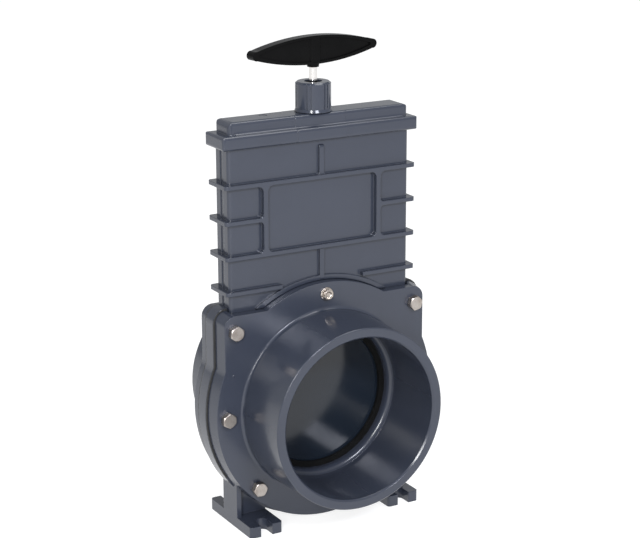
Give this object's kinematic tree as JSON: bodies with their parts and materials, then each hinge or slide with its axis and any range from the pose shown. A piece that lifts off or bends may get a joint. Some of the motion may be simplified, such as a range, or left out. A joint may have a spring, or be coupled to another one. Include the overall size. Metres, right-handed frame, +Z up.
{
  "type": "knife gate valve",
  "caption": "Plastic knife gate valve with two solvent-weld pipe sockets, a tall ribbed sleeve, mounting feet and a pull handle that lifts the gate.",
  "frame": {"origin": "on the floor under the middle of the feet, midway between the two socket mouths", "axes": "+Z up along the rod and the gate's travel, +Y along the pipe towards the rear socket, +X across the valve"},
  "size_m": [0.2448, 0.18, 0.4706],
  "materials": {
    "body_pvc": "semi-gloss moulded PVC, dark blue grey",
    "cap_pvc": "semi-gloss moulded PVC, dark blue grey",
    "nut_pvc": "semi-gloss moulded PVC, dark blue grey",
    "gate_pvc": "polished PVC sheet, dark blue grey",
    "gasket_rubber": "flat black sheet rubber",
    "seal_rubber": "moulded black rubber",
    "packing": "white PTFE",
    "follower_plastic": "black acetal",
    "rod_steel": "bright drawn stainless rod",
    "bolt_steel": "stainless hex bolt",
    "screw_steel": "stainless washer-head screw",
    "stainless": "stainless hardware",
    "handle_black": "glossy black moulded plastic",
    "insert_brass": "turned brass"
  },
  "bodies": {
    "valve_body": {"bonnet_body": "body_pvc", "front_hub": "body_pvc", "rear_hub": "body_pvc", "front_hub_gasket": "gasket_rubber", "rear_hub_gasket": "gasket_rubber", "front_seat_seal": "seal_rubber", "rear_seat_seal": "seal_rubber", "bonnet_cap": "cap_pvc", "packing_washer": "stainless", "stem_packing": "packing", "hub_bolts": "bolt_steel", "hub_washers": "stainless", "hub_nuts": "stainless", "hub_screws": "screw_steel"},
    "gate_assembly": {"gate": "gate_pvc", "gate_nut": "stainless", "stem_jam_nut": "stainless", "stem": "rod_steel", "handle": "handle_black", "handle_insert": "insert_brass"},
    "gland_follower": {"gland_follower": "follower_plastic"},
    "gland_nut": {"gland_nut": "nut_pvc", "stem_wiper": "seal_rubber"}
  },
  "joints": [
    {"name": "gate_slide", "type": "slide", "parent": "valve_body", "child": "gate_assembly", "axis": [0, 0, 1], "range_m": [0, 0.165]},
    {"name": "gland_follower_slide", "type": "slide", "parent": "valve_body", "child": "gland_follower", "axis": [0, 0, 1], "range_m": [0, 0.004]},
    {"name": "gland_nut_turn", "type": "hinge", "parent": "gland_follower", "child": "gland_nut", "pos_m": [0, 0, 0.414], "axis": [0, 0, 1], "range_deg": [0, 720]}
  ],
  "couplings": [
    {"joint": "gland_follower_slide", "follows": "gland_nut_turn", "m_per_rad": 0.00031831}
  ]
}
